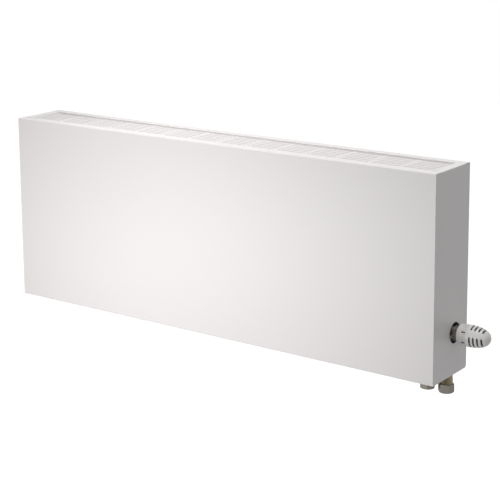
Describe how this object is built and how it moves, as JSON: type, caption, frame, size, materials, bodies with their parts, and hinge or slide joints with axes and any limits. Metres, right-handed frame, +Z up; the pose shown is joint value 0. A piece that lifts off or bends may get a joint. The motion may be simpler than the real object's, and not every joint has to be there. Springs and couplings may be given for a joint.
{
  "type": "wall convector radiator",
  "caption": "Wall convector radiator: folded white casing with a slotted outlet grille, finned tube heat exchanger, side thermostatic head and pipe connections below.",
  "frame": {"origin": "middle of the four wall bolts, in the plane of the wall", "axes": "+X along the casing towards the thermostatic head, +Y into the wall, +Z up; the front faces -Y"},
  "size_m": [1.392, 0.163, 0.5473],
  "materials": {
    "white_paint": "satin powder coat",
    "galvanised_steel": "zinc coated",
    "zinc_plate": "bright zinc plate",
    "steel": "drawn",
    "copper": null,
    "fin_aluminium": "mill finish",
    "brass": "machined",
    "nickel_plate": "nickel plated, dull",
    "sensor_metal": "drawn thin can",
    "fibre": null,
    "black_rubber": "matt",
    "white_plastic": "moulded, fine texture",
    "dark_plastic": "moulded"
  },
  "bodies": {
    "main": {"front_panel": "white_paint", "right_side_panel": "white_paint", "left_side_panel": "white_paint", "rear_rail": "white_paint", "front_stiffeners": "galvanised_steel", "cross_stays": "white_paint", "casing_hangers": "galvanised_steel", "casing_screws": "zinc_plate", "left_wall_bracket": "galvanised_steel", "right_wall_bracket": "galvanised_steel", "exchanger_pads": "black_rubber", "holding_straps": "galvanised_steel", "strap_screws": "zinc_plate", "copper_tubes": "copper", "fins": "fin_aluminium", "left_end_plate": "galvanised_steel", "right_end_plate": "galvanised_steel", "supply_collector": "brass", "return_collector": "brass", "turning_collector": "brass", "air_vent_body": "nickel_plate", "drain_plug": "brass", "drain_seal": "fibre", "supply_nut": "nickel_plate", "return_nut": "nickel_plate", "supply_cone": "brass", "return_cone": "brass", "supply_riser": "brass", "return_stub": "brass", "lockshield_body": "nickel_plate", "lockshield_cap": "nickel_plate", "valve_body": "nickel_plate", "valve_gasket": "fibre", "valve_tail_nut": "nickel_plate", "valve_insert": "brass", "valve_spring": "steel", "head_union_nut": "nickel_plate", "head_collar": "white_plastic", "limit_pins": "dark_plastic"},
    "grille": {"outlet_grille": "white_paint"},
    "handwheel": {"handwheel": "white_plastic"},
    "sensor": {"sensor_capsule": "sensor_metal"},
    "valve_stem": {"valve_pin": "steel", "valve_washer": "black_rubber"},
    "vent_screw": {"air_vent_screw": "nickel_plate"},
    "lockshield_spindle": {"lockshield_spindle": "brass"}
  },
  "joints": [
    {"name": "grille_lift", "type": "slide", "parent": "main", "child": "grille", "axis": [0, 0, 1], "range_m": [0, 0.06]},
    {"name": "handwheel_turn", "type": "hinge", "parent": "main", "child": "handwheel", "pos_m": [0.71, -0.06, -0.148], "axis": [1, 0, 0], "range_deg": [0, 300]},
    {"name": "sensor_slide", "type": "slide", "parent": "main", "child": "sensor", "axis": [1, 0, 0], "range_m": [0, 0.0025]},
    {"name": "valve_lift", "type": "slide", "parent": "main", "child": "valve_stem", "axis": [1, 0, 0], "range_m": [0, 0.0025], "deforming": ["valve_spring"]},
    {"name": "vent_screw_turn", "type": "hinge", "parent": "main", "child": "vent_screw", "pos_m": [-0.608, -0.1115, -0.126], "axis": [0, 0, 1], "range_deg": [0, 360]},
    {"name": "lockshield_turn", "type": "hinge", "parent": "main", "child": "lockshield_spindle", "pos_m": [0.58, -0.085, -0.225], "axis": [0, -1, 0], "range_deg": [0, 1080]}
  ],
  "couplings": [
    {"joint": "sensor_slide", "follows": "handwheel_turn", "m_per_rad": 0.00047746},
    {"joint": "valve_lift", "follows": "handwheel_turn", "m_per_rad": 0.00047746}
  ]
}
